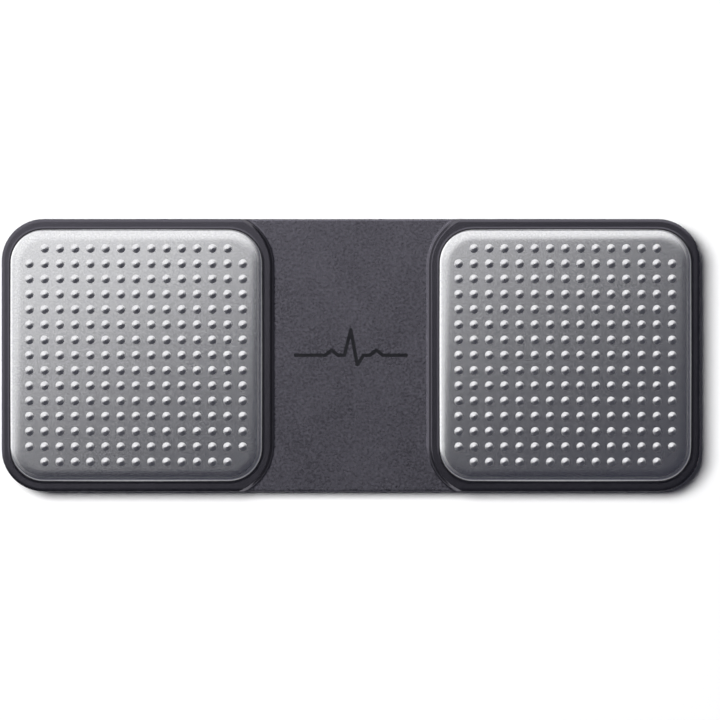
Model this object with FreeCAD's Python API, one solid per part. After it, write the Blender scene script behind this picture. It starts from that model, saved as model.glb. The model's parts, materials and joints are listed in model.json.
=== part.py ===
import FreeCAD, Part
import math
import os

os.makedirs("parts", exist_ok=True)

# A slim single-lead heart monitor: a moulded bar with two square steel
# electrodes.  The left electrode is bonded to the housing.  The right one is
# bonded to the battery door, which lifts straight off over a coin cell.
# Lengths are millimetres.  X runs along the bar, Y across it, Z up from the
# face it lies on.  The origin is the middle of that face.

# Electrodes, pressed from sheet with a turned-down rim
electrode_size = 29.7
electrode_corner_radius = 4.0
electrode_thickness = 0.3
electrode_edge_radius = 0.5
electrode_rim_depth = 0.7
electrode_spacing = 20.7

# Domes embossed in each electrode
dome_radius = 0.49
dome_height = 0.13
dome_pitch = 1.79
dome_border = 2.3

# Film that bonds each electrode down
adhesive_thickness = 0.1
adhesive_border = 0.1

# Housing outline
end_margin = 0.95
side_margin = 1.15
shoulder_radius = 0.45
rear_edge_radius = 0.4
parting_height = 1.4

# Raised frames round the electrodes and the lower panel between them
electrode_gap = 0.2
electrode_proud = 0.35
frame_width = 1.5
panel_drop = 0.45

# Walls of the two shells
floor_thickness = 0.6
deck_thickness = 0.85
groove_clearance = 0.1
shell_wall = 0.8
lip_wall = 0.5
lip_clearance = 0.05
lip_headroom = 0.1
bond_inset = 0.25
bond_width = 0.3
bond_depth = 0.2

# Trace let into the panel
mark_length = 13.0
mark_line = 0.42
mark_peak = 3.0
mark_dip = 1.1
mark_wave = 0.6
mark_step = 0.75
mark_depth = 0.12
mark_fill = 0.08

# Circuit board and what holds it
board_thickness = 0.6
board_standoff = 0.15
board_clearance = 0.4
board_horn = 3.0
post_radius = 0.6
post_clearance = 0.05
post_inset = 2.6
post_head_radius = 1.05
post_head_height = 0.25
standoff_radius = 1.3

# Components on the board
component_height = 0.5
component_headroom = 0.27
low_component_height = 0.35
controller_size = 5.0
controller_x = -3.6
controller_inset = 10.8
front_end_size = 4.0
front_end_x = -11.4
front_end_inset = 7.8
regulator_length = 2.9
regulator_width = 1.6
regulator_x = 6.4
regulator_inset = 6.6
inductor_length = 2.5
inductor_width = 2.0
inductor_inset = 9.6
crystal_length = 3.2
crystal_width = 1.5
crystal_gap = 2.7
chip_length = 1.0
chip_width = 0.5
chip_pitch = 1.3
controller_capacitors = 6
regulator_capacitors = 2
front_end_resistors = 5
diode_length = 1.6
diode_width = 0.8
diode_offset = 2.6

# Sounder under the left electrode
piezo_radius = 7.5
piezo_thickness = 0.15
piezo_clearance = 0.4
ceramic_radius = 5.5
ceramic_thickness = 0.2
piezo_bond_width = 1.4
piezo_bond_thickness = 0.1
lead_width = 0.3
lead_rise = 0.25
lead_reach = 1.5
lead_spread = 1.2

# Coin cell
cell_radius = 10.0
cell_height = 1.6
cell_clearance = 0.3
can_wall = 0.25
cap_wall = 0.2
cap_proud = 0.15
cap_headroom = 0.3
grommet_wall = 0.6
cell_fit = 0.02
ring_wall = 0.7

# Contacts, all cut from the same strip
strip_thickness = 0.1
strip_width = 1.8
crest_height = 0.05
crest_radius = 0.8
crest_offset = 3.0
negative_reach = 4.4
tab_length = 1.5
slot_clearance = 0.2
spring_length = 2.2
spring_inset = 3.2
spring_edge = 0.3
right_spring_y = 8.0
left_spring_y = 5.0
positive_angle = 32.0
positive_length = 3.2
positive_gap = 0.04
positive_drop = 0.25

# Battery door
door_thickness = 0.35
ledge_width = 1.1
skirt_clearance = 0.1
skirt_wall = 0.6
skirt_depth = 0.6
rib_radius = 0.25
rib_clearance = 0.02
rib_offset = 5.0
foam_radius = 6.0
door_slot_clearance = 0.05
door_tab_length = 2.0

# Release hole for a pin, under the door
pin_hole_radius = 0.6
guide_wall = 0.7
guide_top_clearance = 0.2
push_boss_radius = 0.9
push_boss_length = 0.9
release_inset = 3.2

# Heights, from the resting face up
board_bottom = floor_thickness + board_standoff
board_top = board_bottom + board_thickness
deck_bottom = board_top + component_height + component_headroom
deck_top = deck_bottom + deck_thickness
electrode_bottom = deck_top + adhesive_thickness
electrode_top = electrode_bottom + electrode_thickness
rim_bottom = electrode_top - electrode_rim_depth
frame_top = electrode_top - electrode_proud
panel_top = frame_top - panel_drop
groove_floor = rim_bottom - groove_clearance
lip_top = deck_bottom - lip_headroom
ledge_top = deck_top - door_thickness
piezo_bottom = floor_thickness + piezo_bond_thickness
piezo_top = piezo_bottom + piezo_thickness
cell_bottom = floor_thickness + strip_thickness + crest_height
cell_top = cell_bottom + cell_height
cap_top = cell_top - can_wall - cap_headroom

# Places in plan
body_length = 2 * (end_margin + electrode_size) + electrode_spacing
body_width = 2 * side_margin + electrode_size
body_corner_radius = electrode_corner_radius + end_margin
electrode_x = (electrode_spacing + electrode_size) / 2
lip_outer_inset = shell_wall + lip_clearance
lip_inner_inset = lip_outer_inset + lip_wall
board_inset = lip_inner_inset + board_clearance
board_arc_radius = cell_radius + cell_clearance + ring_wall + board_clearance
board_left = board_inset - body_length / 2
board_right = electrode_x - board_arc_radius + board_horn
board_half_width = body_width / 2 - board_inset
opening_grow = electrode_gap - ledge_width
skirt_grow = opening_grow - skirt_clearance
skirt_inner_grow = skirt_grow - skirt_wall
cap_radius = cell_radius - can_wall - grommet_wall
release_offset = electrode_size / 2 + skirt_inner_grow - release_inset

# Places of the components: each keeps its distance from the board's nearer long edge
controller_y = board_half_width - controller_inset
crystal_y = controller_y - (controller_size + crystal_width) / 2 - crystal_gap
inductor_y = board_half_width - inductor_inset
front_end_y = front_end_inset - board_half_width
regulator_y = regulator_inset - board_half_width
diode_x = electrode_x - board_arc_radius - diode_length / 2

# The left spring stands under its electrode, the right one beside the arc in the board
left_spring_x = -electrode_spacing / 2 - spring_inset - spring_length
right_spring_near_y = right_spring_y - strip_width / 2
arc_x = electrode_x - math.sqrt(board_arc_radius ** 2 - right_spring_near_y ** 2)
right_spring_x = arc_x - spring_edge - spring_length

V = FreeCAD.Vector
UP = V(0, 0, 1)


def slab(x, y, size_x, size_y, radius, low, high):
    """Upright block centred on x, y with its four uprights rounded."""
    half_x = size_x / 2
    half_y = size_y / 2
    square = block(x - half_x, x + half_x, y - half_y, y + half_y, low, high)
    uprights = [e for e in square.Edges if abs(e.BoundBox.ZLength - (high - low)) < 1e-6]
    return square.makeFillet(radius, uprights)


def block(x_low, x_high, y_low, y_high, low, high):
    """Square-edged block between three pairs of planes."""
    return Part.makeBox(x_high - x_low, y_high - y_low, high - low, V(x_low, y_low, low))


def disc(x, y, radius, low, high):
    """Upright cylinder."""
    return Part.makeCylinder(radius, high - low, V(x, y, low))


def body_slab(inset, low, high):
    """The bar's outline, drawn in by inset."""
    radius = body_corner_radius - inset
    return slab(0, 0, body_length - 2 * inset, body_width - 2 * inset, radius, low, high)


def pad_slab(side, grow, low, high):
    """An electrode's outline, let out by grow; side is -1 for left and 1 for right."""
    size = electrode_size + 2 * grow
    radius = electrode_corner_radius + grow
    return slab(side * electrode_x, 0, size, size, radius, low, high)


def rounded_at(shape, height, radius):
    """Round every edge that lies at one height."""
    flat = [e for e in shape.Edges if abs(e.BoundBox.ZMin - height) < 1e-6
            and abs(e.BoundBox.ZMax - height) < 1e-6]
    return shape.makeFillet(radius, flat)


def fuse(first, others):
    """One clean solid from several that touch or overlap."""
    return first.multiFuse(others).removeSplitter()


def dome_places(side):
    """Centres of the domes: a square grid without its four corners."""
    count = int((electrode_size - 2 * dome_border) / dome_pitch + 1e-6) + 1
    start = -(count - 1) * dome_pitch / 2
    ends = (0, count - 1)
    places = []
    for column in range(count):
        for row in range(count):
            if column in ends and row in ends:
                continue
            x = side * electrode_x + start + column * dome_pitch
            places.append((x, start + row * dome_pitch))
    return places


def electrode(side):
    """Pressed pad: flat sheet, rolled edge, turned-down rim and embossed domes."""
    outside = pad_slab(side, 0, rim_bottom, electrode_top)
    outside = rounded_at(outside, electrode_top, electrode_edge_radius)
    inside = pad_slab(side, -electrode_thickness, rim_bottom, electrode_bottom)
    inside_radius = max(electrode_edge_radius - electrode_thickness, 0.05)
    inside = rounded_at(inside, electrode_bottom, inside_radius)
    sphere_radius = (dome_radius ** 2 + dome_height ** 2) / (2 * dome_height)
    centre = electrode_top + dome_height - sphere_radius
    middle = (electrode_bottom + electrode_top) / 2
    cap_angle = math.degrees(math.asin((middle - centre) / sphere_radius))
    domes = []
    dimples = []
    for x, y in dome_places(side):
        domes.append(Part.makeSphere(sphere_radius, V(x, y, centre), UP, cap_angle, 90, 360))
        dimples.append(Part.makeSphere(sphere_radius - electrode_thickness, V(x, y, centre)))
    return outside.multiFuse(domes).cut([inside] + dimples)


def contact_window(x, y, length, low, high):
    """Opening that a contact of the given length stands in."""
    half_width = strip_width / 2 + slot_clearance
    return block(x - slot_clearance, x + length + slot_clearance, y - half_width, y + half_width, low, high)


def electrode_adhesive(side, window):
    """Film between an electrode and what carries it, open where the contact reaches through."""
    film = pad_slab(side, -electrode_edge_radius - adhesive_border, deck_top, electrode_bottom)
    return film.cut(window)


def left_window(low, high):
    return contact_window(left_spring_x, left_spring_y, spring_length, low, high)


def door_window(low, high):
    return contact_window(door_strip_x(), right_spring_y, door_tab_length, low, high)


def frame_block(side):
    """The raised frame round one electrode, with everything above the parting line under it."""
    outline = body_slab(0, parting_height, frame_top)
    frame = outline.common(pad_slab(side, frame_width, parting_height, frame_top))
    return rounded_at(frame, frame_top, shoulder_radius)


def mark_places():
    """Corners of a pulse trace: a low wave, a tall narrow beat, and a low wave."""
    return [
        (-mark_length / 2, 0),
        (-4 * mark_step, 0),
        (-3 * mark_step, mark_wave),
        (-2 * mark_step, 0),
        (-mark_step, 0),
        (0, mark_peak),
        (mark_step, -mark_dip),
        (2 * mark_step, 0),
        (3 * mark_step, 0),
        (4 * mark_step, mark_wave),
        (5 * mark_step, 0),
        (mark_length / 2, 0),
    ]


def mark_trace(low, high):
    """The trace as a line of constant width with rounded corners and ends."""
    places = mark_places()
    strokes = []
    for (x, y), (next_x, next_y) in zip(places, places[1:]):
        reach = math.hypot(next_x - x, next_y - y)
        stroke = block(x, x + reach, y - mark_line / 2, y + mark_line / 2, low, high)
        stroke.rotate(V(x, y, 0), UP, math.degrees(math.atan2(next_y - y, next_x - x)))
        strokes.append(stroke)
        strokes.append(disc(next_x, next_y, mark_line / 2, low, high))
    start_x, start_y = places[0]
    return fuse(disc(start_x, start_y, mark_line / 2, low, high), strokes)


def mark_groove():
    return mark_trace(panel_top - mark_depth, panel_top + mark_depth)


def pulse_mark():
    """Gloss trace that fills most of its groove in the panel."""
    low = panel_top - mark_depth
    return mark_trace(low, low + mark_fill)


def front_housing():
    """Top shell: two frames, the panel, the left electrode's deck and the battery bay."""
    above = frame_top + 1
    panel = rounded_at(body_slab(0, parting_height, panel_top), panel_top, shoulder_radius)
    shell = fuse(panel, [frame_block(-1), frame_block(1)])
    cavity = body_slab(shell_wall, parting_height, deck_bottom)
    island = pad_slab(-1, -electrode_edge_radius, groove_floor, deck_top)
    groove = pad_slab(-1, electrode_gap, groove_floor, above).cut(island)
    bay = pad_slab(1, electrode_gap, ledge_top, above)
    opening = pad_slab(1, opening_grow, parting_height, ledge_top)
    return shell.cut([cavity, groove, bay, opening, left_window(deck_bottom, deck_top), mark_groove()])


def post_places():
    """Centres of the posts that the board is staked on."""
    y = board_half_width - post_inset
    places = []
    for x in (board_left + post_inset, 0, board_right - post_inset):
        places.append((x, y))
        places.append((x, -y))
    return places


def staked_post(x, y):
    """Standoff, post through the board and the head formed over it."""
    foot = disc(x, y, standoff_radius, floor_thickness, board_bottom)
    stem = disc(x, y, post_radius, board_bottom, board_top)
    head = disc(x, y, post_head_radius, board_top, board_top + post_head_height)
    return foot.multiFuse([stem, head])


def cell_ring():
    """Low wall that keeps the coin cell in place, with a gap for each contact."""
    inner = cell_radius + cell_clearance
    outer = inner + ring_wall
    ring = disc(electrode_x, 0, outer, floor_thickness, deck_bottom)
    ring = ring.cut(disc(electrode_x, 0, inner, floor_thickness, deck_bottom))
    half = strip_width / 2 + slot_clearance
    left = electrode_x - outer - ring_wall
    negative_way = block(left, electrode_x, -half, half, floor_thickness, deck_bottom)
    half = positive_length / 2 + slot_clearance
    positive_way = block(left, electrode_x, -half, half, floor_thickness, deck_bottom)
    positive_way.rotate(V(electrode_x, 0, 0), UP, positive_angle)
    return ring.cut([negative_way, positive_way])


def release_place():
    return electrode_x + release_offset, -release_offset


def rear_housing():
    """Bottom shell: floor, wall, locating lip, board posts, cell ring and release hole."""
    tray = rounded_at(body_slab(0, 0, parting_height), 0, rear_edge_radius)
    tray = tray.cut(body_slab(lip_inner_inset, floor_thickness, parting_height))
    lip = body_slab(lip_outer_inset, parting_height, lip_top)
    lip = lip.cut(body_slab(lip_inner_inset, parting_height, lip_top))
    x, y = release_place()
    guide_top = ledge_top - push_boss_length - guide_top_clearance
    guide = disc(x, y, pin_hole_radius + guide_wall, floor_thickness, guide_top)
    posts = [staked_post(px, py) for px, py in post_places()]
    shell = fuse(tray, [lip, cell_ring(), guide] + posts)
    return shell.cut([disc(x, y, pin_hole_radius, 0, guide_top), housing_bond()])


def housing_bond():
    """Bead of adhesive in a groove along the top of the rear wall."""
    low = parting_height - bond_depth
    bead = body_slab(bond_inset, low, parting_height)
    return bead.cut(body_slab(bond_inset + bond_width, low, parting_height))


def circuit_board():
    """Board shaped round the sounder on the left and the coin cell on the right."""
    length = board_right - board_left
    radius = body_corner_radius - board_inset
    middle = (board_left + board_right) / 2
    board = slab(middle, 0, length, 2 * board_half_width, radius, board_bottom, board_top)
    cuts = [disc(electrode_x, 0, board_arc_radius, board_bottom, board_top)]
    cuts.append(disc(-electrode_x, 0, piezo_radius + piezo_clearance, board_bottom, board_top))
    for x, y in post_places():
        cuts.append(disc(x, y, post_radius + post_clearance, board_bottom, board_top))
    return board.cut(cuts)


def component(x, y, length, width, height):
    """A chip or other block that stands on the board."""
    x_low = x - length / 2
    y_low = y - width / 2
    return block(x_low, x_low + length, y_low, y_low + width, board_top, board_top + height)


def chip_column(x, y, count):
    """Small two-ended chips in a column, one under the other."""
    chips = []
    for number in range(count):
        chips.append(component(x, y - number * chip_pitch, chip_length, chip_width, low_component_height))
    return chips


def chip_capacitors():
    left_x = controller_x - controller_size / 2 - chip_pitch
    right_x = regulator_x + regulator_length / 2 + chip_pitch
    left = chip_column(left_x, controller_y + chip_pitch, controller_capacitors)
    right = chip_column(right_x, regulator_y, regulator_capacitors)
    return Part.makeCompound(left + right)


def chip_resistors():
    beside = front_end_x + front_end_size / 2 + chip_pitch
    return Part.makeCompound(chip_column(beside, front_end_y + chip_pitch, front_end_resistors))


def protection_diodes():
    """One by each electrode's contact."""
    left_y = left_spring_y - diode_offset
    right_y = right_spring_y - diode_offset
    left = component(-diode_x, left_y, diode_length, diode_width, low_component_height)
    right = component(diode_x, right_y, diode_length, diode_width, low_component_height)
    return Part.makeCompound([left, right])


def piezo_bond():
    """Ring of adhesive that holds the sounder to the floor."""
    ring = disc(-electrode_x, 0, piezo_radius, floor_thickness, piezo_bottom)
    return ring.cut(disc(-electrode_x, 0, piezo_radius - piezo_bond_width, floor_thickness, piezo_bottom))


def piezo_plate():
    return disc(-electrode_x, 0, piezo_radius, piezo_bottom, piezo_top)


def piezo_ceramic():
    return disc(-electrode_x, 0, ceramic_radius, piezo_top, piezo_top + ceramic_thickness)


def piezo_lead(y, foot_radius, foot_height):
    """Short wire from the sounder, up over the edge of the board and down to it."""
    x_low = -electrode_x + foot_radius - lead_width
    x_high = -electrode_x + piezo_radius + piezo_clearance + lead_reach
    bridge_low = board_top + lead_rise
    bridge_high = bridge_low + lead_width
    y_low = y - lead_width / 2
    y_high = y + lead_width / 2
    rise = block(x_low, x_low + lead_width, y_low, y_high, foot_height, bridge_high)
    bridge = block(x_low, x_high, y_low, y_high, bridge_low, bridge_high)
    fall = block(x_high - lead_width, x_high, y_low, y_high, board_top, bridge_high)
    return fuse(rise, [bridge, fall])


def piezo_leads():
    on_plate = piezo_lead(-lead_spread, (ceramic_radius + piezo_radius) / 2, piezo_top)
    on_ceramic = piezo_lead(lead_spread, ceramic_radius - lead_width, piezo_top + ceramic_thickness)
    return Part.makeCompound([on_plate, on_ceramic])


def contact_spring(x, y, top):
    """C-shaped strip on the board whose upper leaf presses on the face at height top."""
    y_low = y - strip_width / 2
    y_high = y + strip_width / 2
    foot = block(x, x + spring_length, y_low, y_high, board_top, board_top + strip_thickness)
    back = block(x, x + strip_thickness, y_low, y_high, board_top, top)
    leaf = block(x, x + spring_length, y_low, y_high, top - strip_thickness, top)
    return fuse(foot, [back, leaf])


def left_contact_spring():
    return contact_spring(left_spring_x, left_spring_y, electrode_bottom)


def right_contact_spring():
    return contact_spring(right_spring_x, right_spring_y, ledge_top - strip_thickness)


def battery_negative_contact():
    """Strip under the coin cell with two crests, and a tail clipped over the board's edge."""
    half = strip_width / 2
    ring_outer = cell_radius + cell_clearance + ring_wall
    tail = electrode_x - (ring_outer + board_arc_radius) / 2
    tail_near = tail + strip_thickness
    strip_top = floor_thickness + strip_thickness
    tab_top = board_top + strip_thickness
    floor_strip = block(tail, electrode_x + negative_reach, -half, half, floor_thickness, strip_top)
    riser = block(tail, tail_near, -half, half, floor_thickness, tab_top)
    tab = block(tail - tab_length, tail_near, -half, half, board_top, tab_top)
    crests = []
    for side in (-1, 1):
        x = electrode_x + side * crest_offset
        crests.append(disc(x, 0, crest_radius, strip_top, cell_bottom))
    return fuse(floor_strip, [riser, tab] + crests)


def battery_positive_contact():
    """Leaf that stands in a gap of the ring against the can's side, on a foot on the board."""
    face = electrode_x - cell_radius - positive_gap
    half = positive_length / 2
    leaf_high = cell_top - positive_drop
    leaf_low = board_top + strip_thickness
    foot_near = electrode_x - board_arc_radius - board_clearance
    foot_far = foot_near - tab_length
    leaf = block(face - strip_thickness, face, -half, half, leaf_low, leaf_high)
    arm = block(foot_far, face, half - strip_thickness, half, leaf_low, leaf_high)
    post = block(foot_far, foot_near, half - strip_thickness, half, board_top, leaf_high)
    foot = block(foot_far, foot_near, -half, half, board_top, board_top + strip_thickness)
    contact = fuse(leaf, [arm, post, foot])
    contact.rotate(V(electrode_x, 0, 0), UP, positive_angle)
    return contact


def coin_cell_can():
    """Positive can: an upturned cup whose side is the cell's rim."""
    low = cell_bottom + cap_proud
    can = rounded_at(disc(electrode_x, 0, cell_radius, low, cell_top), cell_top, can_wall)
    return can.cut(disc(electrode_x, 0, cell_radius - can_wall, low, cell_top - can_wall))


def coin_cell_cap():
    """Negative cap: a cup that opens upwards, its base just proud of the can."""
    cap = disc(electrode_x, 0, cap_radius, cell_bottom, cap_top)
    cap = rounded_at(cap, cell_bottom, cap_wall)
    return cap.cut(disc(electrode_x, 0, cap_radius - cap_wall, cell_bottom + cap_wall, cap_top))


def coin_cell_core():
    """The cell's filling, between the cap's base and the can's top."""
    radius = cap_radius - cap_wall - cell_fit
    return disc(electrode_x, 0, radius, cell_bottom + cap_wall, cell_top - can_wall)


def coin_cell_grommet():
    """Insulating ring that seals the cap into the can."""
    low = cell_bottom + cap_proud
    ring = disc(electrode_x, 0, cell_radius - can_wall - cell_fit, low, cap_top)
    return ring.cut(disc(electrode_x, 0, cap_radius + cell_fit, low, cap_top))


def skirt_rib(angle, offset):
    """Upright rib on the skirt that grips the bay's side."""
    centre = electrode_size / 2 + opening_grow - rib_clearance - rib_radius
    rib = disc(electrode_x + centre, offset, rib_radius, ledge_top - skirt_depth, ledge_top)
    rib.rotate(V(electrode_x, 0, 0), UP, angle)
    return rib


def battery_door():
    """Carrier under the right electrode: plate, skirt, ribs and the boss a pin pushes on."""
    plate = pad_slab(1, -electrode_edge_radius, ledge_top, deck_top)
    low = ledge_top - skirt_depth
    skirt = pad_slab(1, skirt_grow, low, ledge_top).cut(pad_slab(1, skirt_inner_grow, low, ledge_top))
    ribs = []
    for angle in (0, 90, 180, 270):
        for offset in (-rib_offset, rib_offset):
            ribs.append(skirt_rib(angle, offset))
    x, y = release_place()
    boss = disc(x, y, push_boss_radius, ledge_top - push_boss_length, ledge_top)
    door = fuse(plate, [skirt, boss] + ribs)
    half = strip_width / 2 + door_slot_clearance
    slot_low = door_strip_x() - door_slot_clearance
    slot_high = door_strip_x() + strip_thickness + door_slot_clearance
    slot = block(slot_low, slot_high, right_spring_y - half, right_spring_y + half, ledge_top, deck_top)
    return door.cut(slot)


def door_strip_x():
    """Where the door's contact strip passes up through the plate."""
    return right_spring_x + spring_length + slot_clearance


def door_contact_strip():
    """Strip from under the door, up through it, to the back of the right electrode."""
    x = door_strip_x()
    low = ledge_top - strip_thickness
    y_low = right_spring_near_y
    y_high = right_spring_near_y + strip_width
    lower = block(right_spring_x - slot_clearance, x + strip_thickness, y_low, y_high, low, ledge_top)
    riser = block(x, x + strip_thickness, y_low, y_high, low, electrode_bottom)
    upper = block(x, x + door_tab_length, y_low, y_high, deck_top, electrode_bottom)
    return fuse(lower, [riser, upper])


def battery_foam_pad():
    """Foam disc under the door that holds the cell down."""
    return disc(electrode_x, 0, foam_radius, cell_top, ledge_top)


def controller():
    return component(controller_x, controller_y, controller_size, controller_size, component_height)


def front_end():
    return component(front_end_x, front_end_y, front_end_size, front_end_size, component_height)


def regulator():
    return component(regulator_x, regulator_y, regulator_length, regulator_width, component_height)


def inductor():
    return component(regulator_x, inductor_y, inductor_length, inductor_width, component_height)


def crystal():
    return component(controller_x, crystal_y, crystal_length, crystal_width, low_component_height)


pieces = {
    "rear_housing": rear_housing(),
    "front_housing": front_housing(),
    "housing_bond": housing_bond(),
    "pulse_mark": pulse_mark(),
    "left_electrode": electrode(-1),
    "left_electrode_adhesive": electrode_adhesive(-1, left_window(deck_top, electrode_bottom)),
    "right_electrode": electrode(1),
    "right_electrode_adhesive": electrode_adhesive(1, door_window(deck_top, electrode_bottom)),
    "battery_door": battery_door(),
    "door_contact_strip": door_contact_strip(),
    "battery_foam_pad": battery_foam_pad(),
    "coin_cell_can": coin_cell_can(),
    "coin_cell_cap": coin_cell_cap(),
    "coin_cell_core": coin_cell_core(),
    "coin_cell_grommet": coin_cell_grommet(),
    "battery_negative_contact": battery_negative_contact(),
    "battery_positive_contact": battery_positive_contact(),
    "left_contact_spring": left_contact_spring(),
    "right_contact_spring": right_contact_spring(),
    "circuit_board": circuit_board(),
    "microcontroller": controller(),
    "analog_front_end": front_end(),
    "voltage_regulator": regulator(),
    "power_inductor": inductor(),
    "clock_crystal": crystal(),
    "chip_capacitors": chip_capacitors(),
    "chip_resistors": chip_resistors(),
    "protection_diodes": protection_diodes(),
    "piezo_bond": piezo_bond(),
    "piezo_plate": piezo_plate(),
    "piezo_ceramic": piezo_ceramic(),
    "piezo_leads": piezo_leads(),
}

for name, shape in pieces.items():
    shape.exportStep("parts/" + name + ".step")
    print(name, len(shape.Solids), "solids", round(shape.Volume, 3), "mm3", shape.isValid())
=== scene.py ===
import json
import math

import bmesh
import bpy
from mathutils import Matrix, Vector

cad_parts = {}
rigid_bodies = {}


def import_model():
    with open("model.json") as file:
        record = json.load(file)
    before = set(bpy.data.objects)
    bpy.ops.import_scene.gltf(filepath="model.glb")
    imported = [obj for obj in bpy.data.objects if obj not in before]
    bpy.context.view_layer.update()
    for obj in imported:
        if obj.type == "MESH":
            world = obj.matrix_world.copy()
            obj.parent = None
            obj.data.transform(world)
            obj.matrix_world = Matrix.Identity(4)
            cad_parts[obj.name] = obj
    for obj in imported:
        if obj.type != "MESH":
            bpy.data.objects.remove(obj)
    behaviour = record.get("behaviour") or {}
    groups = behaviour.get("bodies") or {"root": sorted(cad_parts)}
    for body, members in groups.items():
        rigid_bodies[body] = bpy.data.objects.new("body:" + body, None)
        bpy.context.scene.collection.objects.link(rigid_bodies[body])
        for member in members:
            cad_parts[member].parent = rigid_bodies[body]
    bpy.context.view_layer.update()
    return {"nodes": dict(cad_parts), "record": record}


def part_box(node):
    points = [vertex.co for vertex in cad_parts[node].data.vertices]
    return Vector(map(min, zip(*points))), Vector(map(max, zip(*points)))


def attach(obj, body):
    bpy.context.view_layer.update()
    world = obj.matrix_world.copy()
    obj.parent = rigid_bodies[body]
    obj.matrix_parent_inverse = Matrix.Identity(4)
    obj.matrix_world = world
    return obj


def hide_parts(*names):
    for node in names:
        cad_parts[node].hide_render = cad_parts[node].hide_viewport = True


# Blender's own cube, lamp and camera go first
bpy.ops.object.select_all(action="SELECT")
bpy.ops.object.delete()

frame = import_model()

# The finishes that come in model.glb make way for the ones below
for plain in list(bpy.data.materials):
    bpy.data.materials.remove(plain)

# Sizes of the monitor in millimetres, in the frame's own axes.  A piece is drawn
# in millimetres and brought to metres when it is finished.
MILLIMETRE = 0.001
NEAR = 0.001
FOUR_WAYS = ((1, 0), (-1, 0), (0, 1), (0, -1))

# Levels past everything, for tools that cut right through, and how far a block
# that is joined to another runs into it
BELOW = -1.0
ABOVE = 4.0
OVERLAP = 0.05

# The housing's outline and its two outer edges
BODY_LENGTH = 82.0
BODY_WIDTH = 32.0
BODY_CORNER = 4.95
CORNER_STEPS = 14
PARTING = 1.4
PARTING_BREAK = 0.06
REAR_EDGE = 0.4
SHOULDER_RADIUS = 1.6
SHOULDER_SLOPE = 14
SHOULDER_BREAK = 0.05

# The pads: each rim step is a run inwards and a rise
PAD_X = 25.2
PAD_SIZE = 29.7
PAD_CORNER = 4.0
PAD_TOP = 3.37
PAD_SHEET = 0.3
RIM_BOTTOM = 2.67
RIM_STEPS = ((0.02, 0.04), (0.17, 0.142), (0.08, 0.048), (0.09, 0.039), (0.11, 0.03), (0.12, 0.017),
             (0.13, 0.0095), (0.15, 0.007), (0.15, 0.005), (0.15, 0.0035), (0.15, 0.002))
SHEET_INSET = 1.6
RIM_DROP = sum(rise for run, rise in RIM_STEPS)
RIM_CUTS = 15
CROWN_SAG = 0.08
FILM_INSET = 0.55

# The domes: each step is a run inwards and a rise, after which the tip is a point
DOME_SIDES = 12
DOME_COUNT = 15
DOME_PITCH = 1.79
DOME_FOOT = 0.54
DOME_STEPS = ((0.04, 0.0), (0.1, 0.0227), (0.1, 0.0379), (0.1, 0.0359), (0.1, 0.0247))
DOME_SPREAD = 2.5
DOME_TIP = 0.13 - sum(rise for run, rise in DOME_STEPS)

# The frames, the curb round each pad, the panel between them and the decks below
SEAM = 0.04
FRAME_TOP = 3.02
FRAME_WIDTH = 1.5
WALL_SLOPE = 56
FOOT_RADIUS = 0.45
BROW_RADIUS = 0.12
FRAME_SPARE = 1.0
FRAME_EDGE = 0.1
LIP_REACH = 0.26
LIP_STEPS = ((0.08, 0.004), (0.07, 0.007), (0.07, 0.01))
PANEL_TOP = 2.45
PANEL_LOW = 2.2
PANEL_HALF = 14.0
PANEL_EDGE_RADIUS = 0.5
PANEL_EDGE_SLOPE = 30
PANEL_BREAK = 0.03
DECK_TOP = 2.97
DECK_BOTTOM = 2.12
DECK_INSET = 0.5
SHELL_WALL = 0.8
LEDGE_TOP = 2.62
LEDGE_INSET = 0.9
SPRING_WINDOW = (-15.95, -13.35, 3.9, 6.1)

# The pulse trace, from end to end
TRACE_PLACES = ((-6.5, 0), (-3, 0), (-2.25, 0.6), (-1.5, 0), (-0.75, 0), (0, 3), (0.75, -1.1), (1.5, 0),
                (2.25, 0), (3, 0.6), (3.75, 0), (6.5, 0))
TRACE_HALF = 0.21
TRACE_DEPTH = 0.12
TRACE_SUNK = 0.04
TRACE_PLAY = 0.01

# The tray, its lip, the bead's groove and the posts of the board
FLOOR_TOP = 0.6
FLOOR_ROOT = FLOOR_TOP - 0.1
LIP_TOP = 2.02
LIP_ROOT = PARTING - 0.3
LIP_BREAK = 0.08
LIP_OUTER = 0.85
LIP_INNER = 1.35
BOND_LOW = 1.2
BOND_OUTER = 0.25
BOND_INNER = 0.55
BOARD_LOW = 0.75
BOARD_TOP = 1.35
POST_INSET = 2.6
POST_RADIUS = 1.3
STEM_RADIUS = 0.6
HEAD_RADIUS = 1.05
HEAD_TOP = BOARD_TOP + 0.25
HEAD_ROUND = 0.15

# The cell, and the ring round it with its two openings
CELL_RADIUS = 10.0
CELL_LOW = 0.9
CELL_TOP = 2.35
CAN_WALL = 0.25
CAN_MOUTH_ROUND = 0.1
CAN_STAMP = ((1.1, 0), (0.12, -0.04), (0.3, 0))
RING_INNER = 10.3
RING_OUTER = 11.0
RING_TOP = DECK_BOTTOM - 0.02
NEGATIVE_HALF = 1.1
POSITIVE_HALF = 1.8
POSITIVE_TURN = 32

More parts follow.
